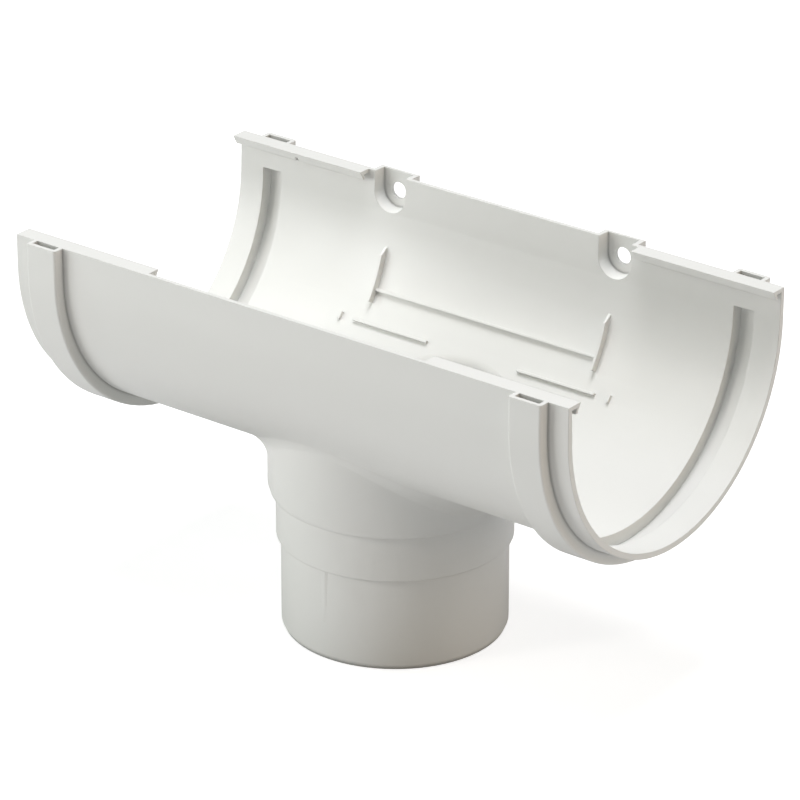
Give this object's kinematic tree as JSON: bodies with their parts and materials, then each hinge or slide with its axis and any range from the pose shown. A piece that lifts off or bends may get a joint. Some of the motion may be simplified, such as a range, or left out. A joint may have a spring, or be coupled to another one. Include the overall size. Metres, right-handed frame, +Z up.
{
  "type": "gutter running outlet",
  "caption": "White moulded running outlet: a deep half-round trough that joins gutter ends over seals, with a round stepped spigot below for a downpipe.",
  "frame": {"origin": "on the axis of the round spigot, at the level of its lower end", "axes": "+X along the gutter, +Y towards the fascia board behind, where the screw pockets are, +Z up"},
  "size_m": [0.246, 0.1391, 0.1432],
  "materials": {
    "white_pvc": "satin moulded, white"
  },
  "bodies": {
    "root": {"outlet_body": "white_pvc"}
  },
  "joints": []
}
